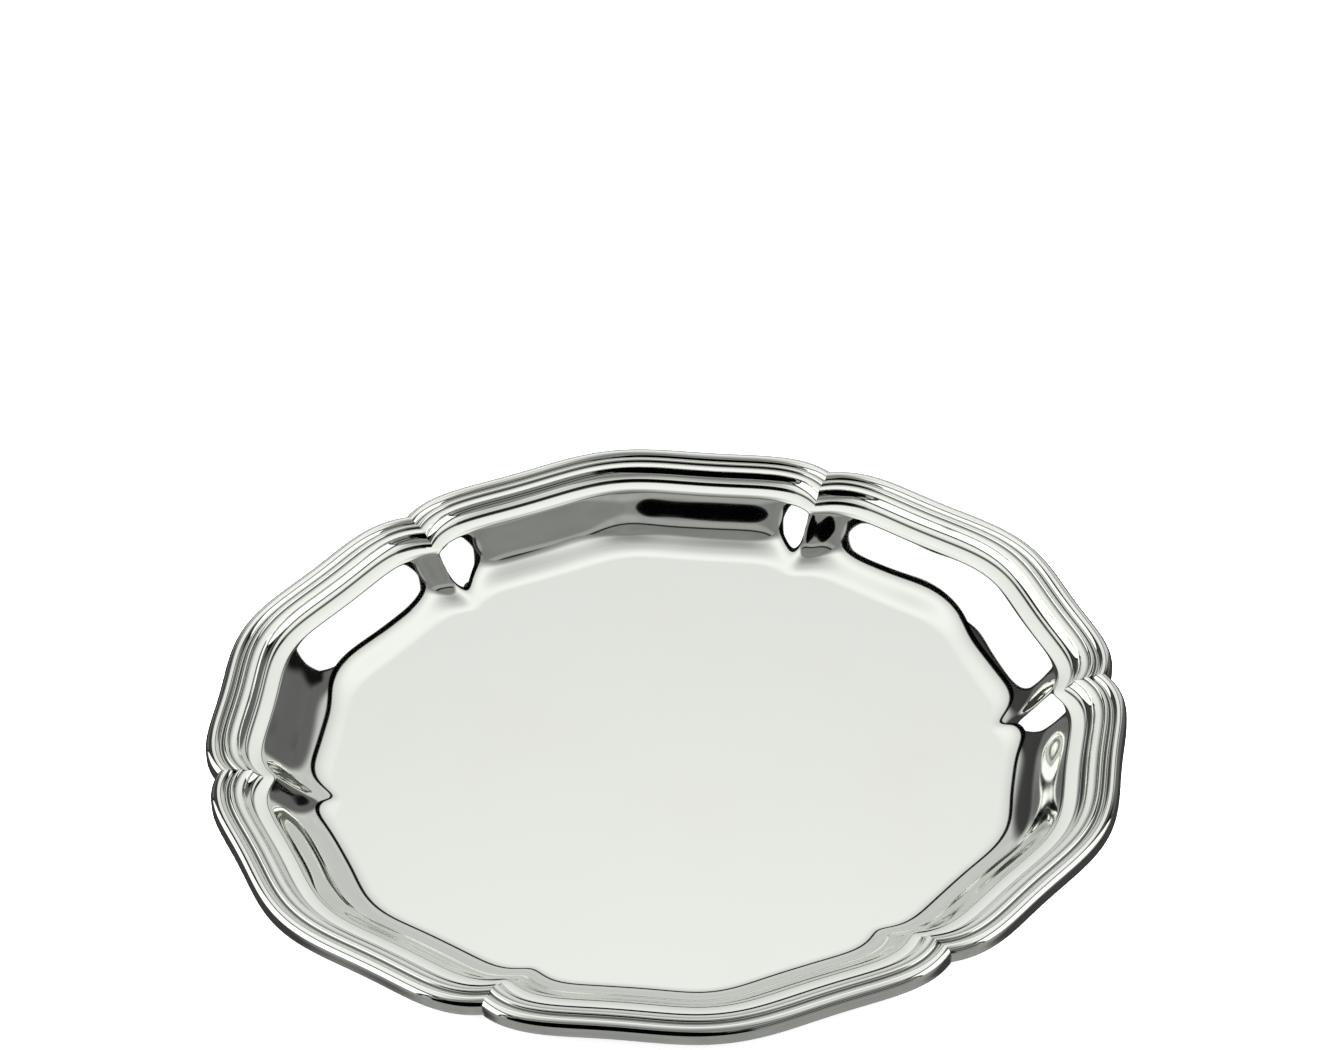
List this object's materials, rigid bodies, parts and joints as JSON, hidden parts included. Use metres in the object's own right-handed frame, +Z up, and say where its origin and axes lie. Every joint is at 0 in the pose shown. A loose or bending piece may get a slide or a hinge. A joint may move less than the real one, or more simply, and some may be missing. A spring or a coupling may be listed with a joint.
{
  "type": "offering plate",
  "caption": "Round lobed offering plate with a flat floor, flaring wall, narrow flange and a raised reeded border mitred at the notches.",
  "frame": {"origin": "centre of the plate on the plane it rests on", "axes": "+Z up along the plate's axis; notches of the rim on +X and -X; lobe middles on +Y and -Y"},
  "size_m": [0.2544, 0.26, 0.016],
  "materials": {
    "dish": "polished silver sheet, faint wipe marks",
    "border_moulding_1": "polished silver moulding",
    "border_moulding_2": "polished silver moulding",
    "border_moulding_3": "polished silver moulding",
    "border_moulding_4": "polished silver moulding",
    "border_moulding_5": "polished silver moulding",
    "border_moulding_6": "polished silver moulding"
  },
  "bodies": {
    "root": {"dish": "dish", "border_moulding_1": "border_moulding_1", "border_moulding_2": "border_moulding_2", "border_moulding_3": "border_moulding_3", "border_moulding_4": "border_moulding_4", "border_moulding_5": "border_moulding_5", "border_moulding_6": "border_moulding_6"}
  },
  "joints": []
}
